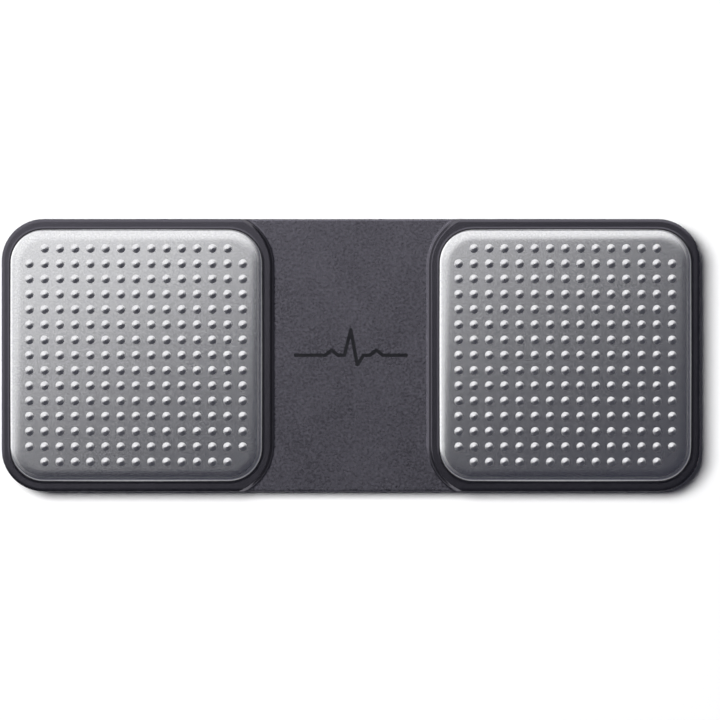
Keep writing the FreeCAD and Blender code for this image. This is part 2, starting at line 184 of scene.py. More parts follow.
# The battery door, and the hole, guide and boss of its release
CARRIER_INSET = 0.5
CARRIER_BREAK = 0.08
SKIRT_OUTER = 1.0
SKIRT_INNER = 1.6
SKIRT_LOW = 2.02
SKIRT_BREAK = 0.1
RIB_RADIUS = 0.25
RIB_PLACE = 13.68
RIB_ALONG = 5
BOSS_RADIUS = 0.9
BOSS_LOW = LEDGE_TOP - 0.9
BOSS_ROUND = 0.15
RISER_PLACE = 2.6
RISER_SHEET = 0.1
RISER_PLAY = 0.05
RELEASE_X = 35.25
RELEASE_Y = -10.05
RELEASE_RADIUS = 0.6
RELEASE_BREAK = 0.12
GUIDE_RADIUS = 1.3
GUIDE_TOP = 1.52

# The drop of the studio floor under the monitor, and the reach of the rays from the
# monitor's back that it lets through
FLOOR_DROP = 0.05
UNDERSIDE_REACH = 0.3

# Lamps and camera, in metres and degrees
KEY_PLACE = (-0.56, 0.339, 1.399)
KEY_TILT = (-11.2, -22.6, -3.8)
KEY_SIZE = (0.876, 0.54)
KEY_LEVEL = 19.9
GLOSS_PLACE = (-0.374, 0.436, 0.658)
GLOSS_TILT = (35.8, 18.5, -159.8)
GLOSS_SIZE = (2.75, 1.24)
GLOSS_LEVEL = 1.45
CAMERA_PLACE = (0.00108, -0.00056, 0.903)
CAMERA_AWAY = 0.9
VIEW_WIDTH = 0.08454

# The surround: heights as the upward part of a direction, then strengths
HORIZON_LOW = 0.12
HORIZON_HIGH = 0.24
SKY_GLOW_TOP = 0.62
SURROUND_DIFFUSE = 0.03
SURROUND_GLOSS = 0.045
HORIZON_GLOSS = 1.0
SKY_GLOW = 0.36
FAR_SIDE = 0.4
UNDERSIDE = 0.9

# Where most of a noise's values lie
NOISE_LOW = 0.3
NOISE_HIGH = 0.7


# ---------------------------------------------------------------- modelling

def choose(piece):
    """Make one piece the only one selected."""
    bpy.ops.object.select_all(action="DESELECT")
    piece.select_set(True)
    bpy.context.view_layer.objects.active = piece


def start_editing(piece):
    """Select one piece and enter edit mode."""
    choose(piece)
    bpy.ops.object.mode_set(mode="EDIT")


def stop_editing():
    """Go back to object mode."""
    bpy.ops.object.mode_set(mode="OBJECT")


def pick_edges(piece, wanted):
    """Select the edges that pass a test."""
    bpy.ops.mesh.select_mode(type="EDGE")
    bpy.ops.mesh.select_all(action="DESELECT")
    mesh = bmesh.from_edit_mesh(piece.data)
    for edge in mesh.edges:
        if wanted(edge):
            edge.select_set(True)
    bmesh.update_edit_mesh(piece.data)


def pick_faces(piece, wanted):
    """Select the faces that pass a test."""
    bpy.ops.mesh.select_mode(type="FACE")
    bpy.ops.mesh.select_all(action="DESELECT")
    mesh = bmesh.from_edit_mesh(piece.data)
    for face in mesh.faces:
        if wanted(face):
            face.select_set(True)
    bmesh.update_edit_mesh(piece.data)


def at_height(level):
    """Test for an edge or a face that lies level at one height."""
    return lambda part: all(abs(vert.co.z - level) < NEAR for vert in part.verts)


def upright(edge):
    """Test for an edge that stands straight up."""
    a, b = edge.verts
    return abs(a.co.x - b.co.x) < NEAR and abs(a.co.y - b.co.y) < NEAR


def lengthwise(edge):
    """Test for an edge that runs along the bar."""
    a, b = edge.verts
    return abs(a.co.x - b.co.x) > 1


def named(name):
    """Name the piece that was just added, with its place in its mesh."""
    piece = bpy.context.object
    piece.name = name
    bpy.ops.object.transform_apply(location=True, rotation=True, scale=True)
    return piece


def block(name, x_low, x_high, y_low, y_high, low, high):
    """Square block between three pairs of planes."""
    middle = ((x_low + x_high) / 2, (y_low + y_high) / 2, (low + high) / 2)
    size = (x_high - x_low, y_high - y_low, high - low)
    bpy.ops.mesh.primitive_cube_add(size=1, location=middle, scale=size)
    return named(name)


def disc(name, x, y, radius, low, high, sides):
    """Upright round block."""
    bpy.ops.mesh.primitive_cylinder_add(
        vertices=sides, radius=radius, depth=high - low, location=(x, y, (low + high) / 2))
    return named(name)


def soften(piece, wanted, radius, steps=2):
    """Round the edges that pass a test."""
    start_editing(piece)
    pick_edges(piece, wanted)
    bpy.ops.mesh.bevel(offset=radius, segments=steps, profile=0.5)
    stop_editing()


def slab(name, x, y, size_x, size_y, radius, low, high):
    """Upright block with its four uprights rounded."""
    half_x = size_x / 2
    half_y = size_y / 2
    piece = block(name, x - half_x, x + half_x, y - half_y, y + half_y, low, high)
    soften(piece, upright, radius, CORNER_STEPS)
    return piece


def body_slab(name, inset, low, high):
    """The housing's outline, drawn in by inset."""
    radius = BODY_CORNER - inset
    return slab(name, 0, 0, BODY_LENGTH - 2 * inset, BODY_WIDTH - 2 * inset, radius, low, high)


def pad_slab(name, side, grow, low, high):
    """A pad's outline, let out by grow; side is -1 for left and 1 for right."""
    size = PAD_SIZE + 2 * grow
    return slab(name, side * PAD_X, 0, size, size, PAD_CORNER + grow, low, high)


def step_in(steps):
    """Draw the selected faces in and up by each run and rise in turn."""
    for run, rise in steps:
        bpy.ops.mesh.inset(thickness=run, depth=rise)


def terrace(piece, level, steps):
    """Draw a piece's faces at one height in and up by each run and rise in turn."""
    start_editing(piece)
    pick_faces(piece, at_height(level))
    step_in(steps)
    stop_editing()


def combine(piece, tool, operation):
    """Unite, difference or intersect a piece with a tool, which is used up."""
    choose(piece)
    modifier = piece.modifiers.new("combine", "BOOLEAN")
    modifier.operation = operation
    modifier.solver = "EXACT"
    modifier.object = tool
    bpy.ops.object.modifier_apply(modifier="combine")
    bpy.data.objects.remove(tool)


def finish_piece(piece, node, slot_name, body, smooth_angle=32):
    """Even out the shading, bring the piece to metres and put it in its node's place."""
    choose(piece)
    bpy.ops.object.shade_smooth_by_angle(angle=math.radians(smooth_angle))
    modifier = piece.modifiers.new("even_shading", "WEIGHTED_NORMAL")
    modifier.keep_sharp = True
    bpy.ops.object.modifier_apply(modifier="even_shading")
    piece.scale = (MILLIMETRE, MILLIMETRE, MILLIMETRE)
    bpy.ops.object.transform_apply(location=True, rotation=True, scale=True)
    piece.data.materials.clear()
    piece.data.materials.append(FINISHES[slot_name])
    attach(piece, body)
    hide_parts(node)


# ---------------------------------------------------------------- node groups

def new_group(name, inputs, outputs):
    """An empty node group with float and vector sockets."""
    kinds = {"value": "NodeSocketFloat", "vector": "NodeSocketVector"}
    group = bpy.data.node_groups.new(name, "ShaderNodeTree")
    for socket_name, kind, default in inputs:
        socket = group.interface.new_socket(name=socket_name, in_out="INPUT", socket_type=kinds[kind])
        if default is not None:
            socket.default_value = default
    for socket_name, kind in outputs:
        group.interface.new_socket(name=socket_name, in_out="OUTPUT", socket_type=kinds[kind])
    entry = group.nodes.new("NodeGroupInput")
    leave = group.nodes.new("NodeGroupOutput")
    return group, entry.outputs, leave.inputs


def noise(tree, vector, scale, detail, roughness=0.5):
    """A noise texture in a tree; scale is a number or the socket that gives it."""
    node = tree.nodes.new("ShaderNodeTexNoise")
    node.inputs["Detail"].default_value = detail
    node.inputs["Roughness"].default_value = roughness
    tree.links.new(vector, node.inputs["Vector"])
    if isinstance(scale, float):
        node.inputs["Scale"].default_value = scale
    else:
        tree.links.new(scale, node.inputs["Scale"])
    return node.outputs["Fac"]


def spread(tree, value, from_low, from_high, to_low, to_high):
    """Map a value from one range to another, kept inside it."""
    node = tree.nodes.new("ShaderNodeMapRange")
    tree.links.new(value, node.inputs["Value"])
    ends = {"From Min": from_low, "From Max": from_high, "To Min": to_low, "To Max": to_high}
    for name, number in ends.items():
        if isinstance(number, (int, float)):
            node.inputs[name].default_value = number
        else:
            tree.links.new(number, node.inputs[name])
    return node.outputs["Result"]


def maths(tree, operation, first, second):
    """A sum, product or other operation on two values."""
    node = tree.nodes.new("ShaderNodeMath")
    node.operation = operation
    for socket, number in zip(node.inputs, (first, second)):
        if isinstance(number, (int, float)):
            socket.default_value = number
        else:
            tree.links.new(number, socket)
    return node.outputs["Value"]


def blend_colours(tree, mask, low, high):
    """Mix two colours by a mask; each is a tuple or a socket."""
    node = tree.nodes.new("ShaderNodeMix")
    node.data_type = "RGBA"
    tree.links.new(mask, node.inputs["Factor"])
    for socket, colour in ((node.inputs[6], low), (node.inputs[7], high)):
        if isinstance(colour, tuple):
            socket.default_value = colour
        else:
            tree.links.new(colour, socket)
    return node.outputs[2]


def split(tree, vector):
    """The X, Y and Z of a vector."""
    node = tree.nodes.new("ShaderNodeSeparateXYZ")
    tree.links.new(vector, node.inputs["Vector"])
    return node.outputs


def either_shader(tree, mask, first, second, surface):
    """Send the first shader to a surface, or the second where a mask is one."""
    node = tree.nodes.new("ShaderNodeMixShader")
    tree.links.new(mask, node.inputs["Fac"])
    tree.links.new(first, node.inputs[1])
    tree.links.new(second, node.inputs[2])
    tree.links.new(node.outputs["Shader"], surface)


def moulded_grain_group():
    """Spark-eroded grain of a mould: fine pits with a slower unevenness under them."""
    group, given, result = new_group(
        "moulded_grain",
        [("Place", "vector", None), ("Grain", "value", 3000.0), ("Tone Spread", "value", 0.1)],
        [("Height", "value"), ("Tone", "value")])
    fine = noise(group, given["Place"], given["Grain"], 3.0, 0.6)
    slow_scale = maths(group, "MULTIPLY", given["Grain"], 0.08)
    slow = noise(group, given["Place"], slow_scale, 2.0)
    both = maths(group, "ADD", maths(group, "MULTIPLY", fine, 0.8), maths(group, "MULTIPLY", slow, 0.2))
    group.links.new(both, result["Height"])
    low = maths(group, "SUBTRACT", 1.0, given["Tone Spread"])
    high = maths(group, "ADD", 1.0, given["Tone Spread"])
    group.links.new(spread(group, both, NOISE_LOW, NOISE_HIGH, low, high), result["Tone"])
    return group


def blasted_metal_group():
    """Bead-blasted sheet: tiny even dents, and faint clouds from the rolling mill."""
    group, given, result = new_group(
        "blasted_metal",
        [("Place", "vector", None), ("Dents", "value", 9000.0), ("Clouds", "value", 900.0)],
        [("Height", "value"), ("Cloud", "value"), ("Fleck", "value")])
    dents = noise(group, given["Place"], given["Dents"], 2.0, 0.55)
    clouds = noise(group, given["Place"], given["Clouds"], 3.0, 0.55)
    group.links.new(dents, result["Height"])
    group.links.new(spread(group, clouds, 0.35, 0.65, 0.0, 1.0), result["Cloud"])
    group.links.new(spread(group, dents, 0.35, 0.65, 0.0, 1.0), result["Fleck"])
    return group


def drawn_strip_group():
    """Lines that rolling leaves along a strip of metal."""
    group, given, result = new_group(
        "drawn_strip",
        [("Place", "vector", None), ("Lines", "value", 6000.0)],
        [("Height", "value"), ("Tone", "value")])
    stretch = group.nodes.new("ShaderNodeMapping")
    stretch.inputs["Scale"].default_value = (0.04, 1.0, 1.0)
    group.links.new(given["Place"], stretch.inputs["Vector"])
    lines = noise(group, stretch.outputs["Vector"], given["Lines"], 3.0)
    group.links.new(lines, result["Height"])
    group.links.new(spread(group, lines, NOISE_LOW, NOISE_HIGH, 0.85, 1.1), result["Tone"])
    return group


MOULDED_GRAIN = moulded_grain_group()
BLASTED_METAL = blasted_metal_group()
DRAWN_STRIP = drawn_strip_group()


# ---------------------------------------------------------------- materials

class Finish:
    """A material with its tree, its place on the piece and its shader to hand."""

    def __init__(self, name, metallic=0.0, roughness=0.5):
        self.material = bpy.data.materials.new(name)
        self.material.use_nodes = True
        self.tree = self.material.node_tree
        self.shader = self.tree.nodes["Principled BSDF"]
        self.shader.inputs["Metallic"].default_value = metallic
        self.shader.inputs["Roughness"].default_value = roughness
        self.place = self.tree.nodes.new("ShaderNodeTexCoord").outputs["Object"]

    def effect(self, group, **values):
        """One of the shared groups, with this material's own values."""
        node = self.tree.nodes.new("ShaderNodeGroup")
        node.node_tree = group
        self.tree.links.new(self.place, node.inputs["Place"])
        for name, value in values.items():
            node.inputs[name.replace("_", " ")].default_value = value
        return node.outputs

    def feed(self, name, socket):
        """Link a socket to one of the shader's inputs."""
        self.tree.links.new(socket, self.shader.inputs[name])

    def shade(self, colour, tone):
        """Base colour of one hue, or of a socket's, made lighter and darker by a tone."""
        node = self.tree.nodes.new("ShaderNodeMix")
        node.data_type = "RGBA"
        node.blend_type = "MULTIPLY"
        node.inputs["Factor"].default_value = 1.0
        if isinstance(colour, tuple):
            node.inputs[6].default_value = (*colour, 1.0)
        else:
            self.tree.links.new(colour, node.inputs[6])
        self.tree.links.new(tone, node.inputs[7])
        self.feed("Base Color", node.outputs[2])

    def roughen(self, height, low, high):
        """Roughness that follows a height from one value to another."""
        self.feed("Roughness", spread(self.tree, height, NOISE_LOW, NOISE_HIGH, low, high))

    def bump(self, height, depth):
        """Relief of a given depth in millimetres."""
        node = self.tree.nodes.new("ShaderNodeBump")
        node.inputs["Distance"].default_value = depth * MILLIMETRE
        node.inputs["Strength"].default_value = 1.0
        self.tree.links.new(height, node.inputs["Height"])
        self.feed("Normal", node.outputs["Normal"])


def front_plastic():
    """Black moulding: satin frames, and a bluish spark-eroded panel between them."""
    finish = Finish("front_plastic")
    tree = finish.tree
    grain = finish.effect(MOULDED_GRAIN, Grain=3200.0, Tone_Spread=0.85)
    place = split(tree, finish.place)
    fade_low = (PANEL_TOP + 0.01) * MILLIMETRE
    fade_high = (PANEL_TOP + 0.03) * MILLIMETRE
    low = spread(tree, place["Z"], fade_low, fade_high, 1.0, 0.0)
    off_centre = maths(tree, "ABSOLUTE", place["X"], 0.0)
    between = maths(tree, "LESS_THAN", off_centre, PANEL_HALF * MILLIMETRE)
    lying = maths(tree, "GREATER_THAN", place["Z"], PANEL_LOW * MILLIMETRE)
    panel = maths(tree, "MULTIPLY", low, maths(tree, "MULTIPLY", between, lying))
    colour = blend_colours(tree, panel, (0.005, 0.005, 0.006, 1.0), (0.033, 0.032, 0.038, 1.0))
    finish.shade(colour, grain["Tone"])
    finish.shader.inputs["Specular IOR Level"].default_value = 1.0
    finish.shader.inputs["Specular Tint"].default_value = (1.0, 0.95, 1.12, 1.0)
    finish.feed("Roughness", spread(tree, panel, 0.0, 1.0, 0.21, 0.23))
    relief = maths(tree, "MULTIPLY", grain["Height"], spread(tree, panel, 0.0, 1.0, 0.25, 1.0))
    finish.bump(relief, 0.012)
    return finish.material


def rear_plastic():
    """Black moulding with one even fine grain."""
    finish = Finish("rear_plastic")
    grain = finish.effect(MOULDED_GRAIN, Grain=3400.0, Tone_Spread=0.12)
    finish.shade((0.024, 0.024, 0.027), grain["Tone"])
    finish.roughen(grain["Height"], 0.5, 0.42)
    finish.bump(grain["Height"], 0.02)
    return finish.material


def electrode_steel():
    """Stainless sheet, finely blasted, duller where a dome's side is stretched and bright at the rim."""
    finish = Finish("electrode_steel", metallic=1.0)
    blasted = finish.effect(BLASTED_METAL, Dents=5200.0, Clouds=1500.0)
    tree = finish.tree
    low = blend_colours(tree, blasted["Fleck"], (0.55, 0.55, 0.56, 1.0), (0.67, 0.67, 0.68, 1.0))
    high = blend_colours(tree, blasted["Fleck"], (0.57, 0.57, 0.57, 1.0), (0.69, 0.69, 0.69, 1.0))
    finish.feed("Base Color", blend_colours(tree, blasted["Cloud"], low, high))
    flat = spread(tree, blasted["Fleck"], 0.0, 1.0, 0.17, 0.19)
    facing = split(tree, tree.nodes.new("ShaderNodeNewGeometry").outputs["Normal"])
    stretched = spread(tree, facing["Z"], 0.999, 0.985, 0.0, 0.17)
    burnished = spread(tree, facing["Z"], 0.92, 0.84, 1.0, 0.0)
    finish.feed("Roughness", maths(tree, "ADD", flat, maths(tree, "MULTIPLY", stretched, burnished)))
    finish.bump(blasted["Height"], 0.0003)
    return finish.material


def cell_steel():
    """Nickel-plated cell can, lightly brushed."""
    finish = Finish("cell_steel", metallic=1.0)
    lines = finish.effect(DRAWN_STRIP, Lines=9000.0)
    finish.shade((0.68, 0.67, 0.64), lines["Tone"])
    finish.roughen(lines["Height"], 0.26, 0.36)
    finish.bump(lines["Height"], 0.002)
    return finish.material


def contact_strip():
    """Gold-flashed contact strip."""
    finish = Finish("contact_strip", metallic=1.0)
    lines = finish.effect(DRAWN_STRIP, Lines=12000.0)
    finish.shade((0.83, 0.62, 0.30), lines["Tone"])
    finish.roughen(lines["Height"], 0.22, 0.36)
    return finish.material


def plain_moulding(name, colour, roughness, grain_scale, depth):
    """Moulded or pressed stuff of one hue with its own grain."""
    finish = Finish(name)
    grain = finish.effect(MOULDED_GRAIN, Grain=grain_scale, Tone_Spread=0.15)
    finish.shade(colour, grain["Tone"])
    rough_low = roughness - 0.05
    rough_high = roughness + 0.05
    finish.roughen(grain["Height"], rough_low, rough_high)
    finish.bump(grain["Height"], depth)
    return finish.material


def mark_lacquer():
    """Gloss black fill with a clear skin."""
    finish = Finish("mark_lacquer")
    grain = finish.effect(MOULDED_GRAIN, Grain=900.0, Tone_Spread=0.1)
    finish.shade((0.012, 0.012, 0.014), grain["Tone"])
    finish.shader.inputs["Coat Weight"].default_value = 0.6
    finish.shader.inputs["Coat Roughness"].default_value = 0.05
    finish.roughen(grain["Height"], 0.1, 0.16)
    return finish.material


def board_laminate():
    """Dark green board with traces under its lacquer."""
    finish = Finish("board_laminate")
    tree = finish.tree
    turned = tree.nodes.new("ShaderNodeMapping")
    turned.inputs["Rotation"].default_value = (0.0, 0.0, math.radians(45))
    tree.links.new(finish.place, turned.inputs["Vector"])
    cells = tree.nodes.new("ShaderNodeTexVoronoi")
    cells.distance = "CHEBYCHEV"
    cells.feature = "F1"
    cells.inputs["Scale"].default_value = 700.0
    cells.inputs["Randomness"].default_value = 0.55
    tree.links.new(turned.outputs["Vector"], cells.inputs["Vector"])
    rings = maths(tree, "PINGPONG", cells.outputs["Distance"], 0.14)
    trace = spread(tree, rings, 0.06, 0.075, 0.0, 1.0)
    grain = finish.effect(MOULDED_GRAIN, Grain=5000.0, Tone_Spread=0.08)
    colour = blend_colours(tree, trace, (0.006, 0.050, 0.022, 1.0), (0.014, 0.095, 0.042, 1.0))
    finish.feed("Base Color", colour)
    finish.roughen(grain["Height"], 0.3, 0.42)
    finish.bump(trace, 0.012)
    return finish.material


def crystal_can():
    """Bare metal of the crystal's can."""
    finish = Finish("crystal_can", metallic=1.0, roughness=0.3)
    lines = finish.effect(DRAWN_STRIP, Lines=9000.0)
    finish.shade((0.70, 0.70, 0.70), lines["Tone"])
    return finish.material


def sounder_brass():
    """Rolled brass of the sounder's plate."""
    finish = Finish("sounder_brass", metallic=1.0, roughness=0.33)
    lines = finish.effect(DRAWN_STRIP, Lines=7000.0)
    finish.shade((0.72, 0.52, 0.22), lines["Tone"])
    return finish.material


def lead_wire():
    """Tinned wire."""
    finish = Finish("lead_wire", metallic=1.0, roughness=0.3)
    lines = finish.effect(DRAWN_STRIP, Lines=14000.0)
    finish.shade((0.76, 0.74, 0.70), lines["Tone"])
    return finish.material


FINISHES = {
    "rear_plastic": rear_plastic(),
    "front_plastic": front_plastic(),
    "shell_adhesive": plain_moulding("shell_adhesive", (0.30, 0.29, 0.26), 0.4, 1500.0, 0.01),
    "mark_lacquer": mark_lacquer(),
    "electrode_steel": electrode_steel(),
    "film_adhesive": plain_moulding("film_adhesive", (0.55, 0.54, 0.50), 0.5, 2500.0, 0.005),
    "door_plastic": plain_moulding("door_plastic", (0.026, 0.026, 0.029), 0.42, 3000.0, 0.02),
    "contact_strip": contact_strip(),
    "foam": plain_moulding("foam", (0.035, 0.035, 0.038), 0.9, 5000.0, 0.15),
    "cell_steel": cell_steel(),
    "cell_filling": plain_moulding("cell_filling", (0.10, 0.10, 0.10), 0.8, 4000.0, 0.02),
    "grommet_plastic": plain_moulding("grommet_plastic", (0.16, 0.16, 0.17), 0.4, 3000.0, 0.005),
    "board_laminate": board_laminate(),
    "chip_resin": plain_moulding("chip_resin", (0.020, 0.020, 0.021), 0.55, 6000.0, 0.01),
    "ferrite": plain_moulding("ferrite", (0.055, 0.052, 0.050), 0.6, 5000.0, 0.02),
    "crystal_can": crystal_can(),
    "chip_ceramic": plain_moulding("chip_ceramic", (0.36, 0.27, 0.19), 0.5, 8000.0, 0.005),
    "sounder_brass": sounder_brass(),
    "sounder_ceramic": plain_moulding("sounder_ceramic", (0.62, 0.60, 0.55), 0.35, 3000.0, 0.004),
    "lead_wire": lead_wire(),
}


# ---------------------------------------------------------------- electrodes

def dome_tile(x, y):
    """One square of sheet with a dome pressed up in its middle."""
    turn = math.pi / DOME_SIDES
    bpy.ops.mesh.primitive_circle_add(
        vertices=DOME_SIDES, radius=DOME_FOOT, fill_type="NGON", location=(x, y, 0), rotation=(0, 0, turn))
    tile = named("dome_tile")
    start_editing(tile)
    bpy.ops.mesh.select_mode(type="FACE")
    bpy.ops.mesh.select_all(action="SELECT")
    step_in(DOME_STEPS)
    bpy.ops.mesh.poke(offset=DOME_TIP)
    bpy.ops.mesh.select_mode(type="EDGE")
    bpy.ops.mesh.select_non_manifold(extend=False)
    bpy.ops.mesh.extrude_edges_move()
    bpy.ops.transform.resize(value=(DOME_SPREAD, DOME_SPREAD, 1), center_override=(x, y, 0))
    half = DOME_PITCH / 2
    for way_x, way_y in FOUR_WAYS:
        bpy.ops.mesh.select_all(action="SELECT")
        bpy.ops.mesh.bisect(
            plane_co=(x + way_x * half, y + way_y * half, 0), plane_no=(way_x, way_y, 0), clear_outer=True)
    stop_editing()
    return tile


def repeat(piece, count, step):
    """Repeat a piece in a row of its own mesh, each joined to the next."""
    choose(piece)
    row = piece.modifiers.new("row", "ARRAY")
    row.count = count
    row.use_relative_offset = False
    row.use_constant_offset = True
    row.constant_offset_displace = step
    row.use_merge_vertices = True
    row.merge_threshold = NEAR / 2
    bpy.ops.object.modifier_apply(modifier="row")


def trim_to_outline(inset):
    """Cut the sheet that is being edited back to the pad's rounded outline, drawn in by inset."""
    radius = PAD_CORNER - inset
    centre = PAD_SIZE / 2 - PAD_CORNER
    steps = 40
    for step in range(steps):
        angle = 2 * math.pi * (step + 0.5) / steps
        way_x = math.cos(angle)
        way_y = math.sin(angle)
        place_x = math.copysign(centre, way_x) + radius * way_x
        place_y = math.copysign(centre, way_y) + radius * way_y
        bpy.ops.mesh.select_all(action="SELECT")
        bpy.ops.mesh.bisect(plane_co=(place_x, place_y, 0), plane_no=(way_x, way_y, 0), clear_outer=True)
    for way_x, way_y in FOUR_WAYS:
        reach = centre + radius
        bpy.ops.mesh.select_all(action="SELECT")
        bpy.ops.mesh.bisect(
            plane_co=(way_x * reach, way_y * reach, 0), plane_no=(way_x, way_y, 0), clear_outer=True)


def domed_sheet():
    """The flat of a pad round the origin, with its grid of domes less the four corners."""
    first = -(DOME_COUNT - 1) * DOME_PITCH / 2
    sheet = dome_tile(first, first)
    repeat(sheet, DOME_COUNT, (DOME_PITCH, 0, 0))
    repeat(sheet, DOME_COUNT, (0, DOME_PITCH, 0))
    start_editing(sheet)
    corner = -first - DOME_PITCH / 2
    pick_faces(sheet, lambda face: min(abs(vert.co.x) for vert in face.verts) > corner - NEAR
               and min(abs(vert.co.y) for vert in face.verts) > corner - NEAR)
    bpy.ops.transform.resize(value=(1, 1, 0), center_override=(0, 0, 0))
    bpy.ops.mesh.select_mode(type="EDGE")
    bpy.ops.mesh.select_non_manifold(extend=False)
    bpy.ops.mesh.extrude_edges_move()
    grow = PAD_SIZE / (DOME_COUNT * DOME_PITCH)
    bpy.ops.transform.resize(value=(grow, grow, 1), center_override=(0, 0, 0))
    trim_to_outline(SHEET_INSET)
    stop_editing()
    return sheet


def pad_rim():
    """The edge and turned-down rim, open in the middle, with the pad's top at zero."""
    depth = PAD_TOP - RIM_BOTTOM
    bpy.ops.mesh.primitive_plane_add(size=PAD_SIZE, location=(0, 0, -depth))
    rim = named("pad_rim")
    start_editing(rim)
    bpy.ops.mesh.select_all(action="SELECT")
    bpy.ops.mesh.bevel(affect="VERTICES", offset=PAD_CORNER, segments=CORNER_STEPS, profile=0.5)
    pick_edges(rim, lambda edge: edge.calc_length() > PAD_SIZE / 2)
    bpy.ops.mesh.subdivide(number_cuts=RIM_CUTS)
    pick_faces(rim, lambda face: True)
    bpy.ops.mesh.extrude_region_move(TRANSFORM_OT_translate={"value": (0, 0, depth - RIM_DROP)})
    step_in(RIM_STEPS)
    bpy.ops.mesh.delete(type="FACE")
    pick_faces(rim, at_height(-depth))
    bpy.ops.mesh.delete(type="FACE")
    stop_editing()
    return rim


def crown(pad):
    """Let the sheet fall away evenly from its middle, with a cage of five by five points.

    The cage is twice the pad's size, so a point at a quarter of it lies over the pad's edge and
    sixteen times its square is one.  Two thirds is what the cage's own smoothing adds.
    """
    bpy.ops.object.add(type="LATTICE", location=(0, 0, 0))
    cage = bpy.context.object
    cage.scale = (2 * PAD_SIZE, 2 * PAD_SIZE, 4)
    cage.data.points_u = 5
    cage.data.points_v = 5
    cage.data.points_w = 2
    for point in cage.data.points:
        fall = 16 * (point.co.x ** 2 + point.co.y ** 2) - 2 / 3
        point.co_deform.z -= CROWN_SAG * fall / cage.scale.z
    choose(pad)
    bend = pad.modifiers.new("crown", "LATTICE")
    bend.object = cage
    bpy.ops.object.modifier_apply(modifier="crown")
    bpy.data.objects.remove(cage)


def pressed_pad():
    """A whole pad round the origin, its top at zero: sheet, rim, crown and thickness."""
    pad = domed_sheet()
    rim = pad_rim()
    choose(pad)
    rim.select_set(True)
    bpy.ops.object.join()
    start_editing(pad)
    pick_edges(pad, lambda edge: edge.is_boundary and abs(edge.verts[0].co.z) < NEAR)
    bpy.ops.mesh.bridge_edge_loops()
    bpy.ops.mesh.select_all(action="SELECT")
    bpy.ops.mesh.normals_make_consistent(inside=False)
    mesh = bmesh.from_edit_mesh(pad.data)
    if min(mesh.faces, key=lambda face: face.calc_center_median().length).normal.z < 0:
        bpy.ops.mesh.flip_normals()
    stop_editing()
    crown(pad)
    choose(pad)
    sheet = pad.modifiers.new("sheet", "SOLIDIFY")
    sheet.thickness = PAD_SHEET
    sheet.offset = -1
    bpy.ops.object.modifier_apply(modifier="sheet")
    return pad


def electrodes():
    """Both pads, from one pressing."""
    left = pressed_pad()
    left.name = "left_electrode_pad"
    choose(left)
    bpy.ops.object.duplicate()
    right = bpy.context.object
    right.name = "right_electrode_pad"
    left.location = (-PAD_X, 0, PAD_TOP)
    right.location = (PAD_X, 0, PAD_TOP)
    for pad, node, body in ((left, "left_electrode", "housing"), (right, "right_electrode", "door")):
        choose(pad)
        bpy.ops.object.transform_apply(location=True, rotation=True, scale=True)
        finish_piece(pad, node, "electrode_steel", body, 50)


def electrode_films():
    """Thin adhesive under each pad, drawn in to lie clear of its rounded edge."""
    films = ((-1, "left_electrode_adhesive", "housing"), (1, "right_electrode_adhesive", "door"))
    for side, node, body in films:
        film = pad_slab(node + "_film", side, -FILM_INSET, DECK_TOP, PAD_TOP - PAD_SHEET)
        finish_piece(film, node, "film_adhesive", body)


# ---------------------------------------------------------------- housing

def arc_steps(radius, start, end, count):
    """Runs and rises of a wall that turns from one slope to another, in degrees."""
    steps = []
    for number in range(count):
        low = math.radians(start + (end - start) * number / count)
        high = math.radians(start + (end - start) * (number + 1) / count)
        run = radius * abs(math.sin(high) - math.sin(low))
        rise = radius * abs(math.cos(low) - math.cos(high))
        steps.append((run, rise))
    return steps


def frame_form(side):
    """Rounded block under one frame: a hollow foot, a steep wall and a small rounded brow."""
    near = PAD_SIZE / 2 + FRAME_WIDTH
    half = BODY_WIDTH / 2 + FRAME_SPARE
    far = BODY_LENGTH / 2 - PAD_X + 2 * FRAME_SPARE
    radius = PAD_CORNER + FRAME_WIDTH + FRAME_SPARE
    middle = side * (PAD_X + (far - near) / 2)
    form = slab("frame_form", middle, 0, near + far, 2 * half, radius, BELOW, PANEL_TOP)
    foot = arc_steps(FOOT_RADIUS, 0, WALL_SLOPE, 8)
    brow = arc_steps(BROW_RADIUS, WALL_SLOPE, 0, 5)
    straight = FRAME_TOP - PANEL_TOP - sum(rise for run, rise in foot + brow)
    wall = [(straight / math.tan(math.radians(WALL_SLOPE)), straight)]
    terrace(form, PANEL_TOP, foot + wall + brow + [(FRAME_EDGE, 0)])
    return form


def shouldered_body():
    """The housing's outline between the parting line and the frames, with its edges eased."""
    shoulder = arc_steps(SHOULDER_RADIUS, SHOULDER_SLOPE, 0, 6)
    side_top = FRAME_TOP - sum(rise for run, rise in shoulder)
    body = body_slab("front_housing_shell", 0, PARTING, side_top)
    terrace(body, side_top, shoulder)
    soften(body, at_height(side_top), SHOULDER_BREAK)
    soften(body, at_height(PARTING), PARTING_BREAK)
    return body


def seat_lip(side):
    """Low curb that rises from the frame's flat to the pad's edge."""
    lip = pad_slab("seat_lip", side, LIP_REACH, PANEL_TOP, FRAME_TOP)
    terrace(lip, FRAME_TOP, LIP_STEPS)
    return lip


def lower_panel():
    """The bar between the two frames."""
    half = BODY_WIDTH / 2
    eased = arc_steps(PANEL_EDGE_RADIUS, PANEL_EDGE_SLOPE, 0, 5)
    side_top = PANEL_TOP - sum(rise for run, rise in eased)
    bar = block("lower_panel", -PANEL_HALF, PANEL_HALF, -half, half, PARTING, side_top)
    terrace(bar, side_top, eased)
    soften(bar, lambda edge: lengthwise(edge) and at_height(side_top)(edge), PANEL_BREAK)
    soften(bar, lambda edge: lengthwise(edge) and at_height(PARTING)(edge), PARTING_BREAK)
    return bar


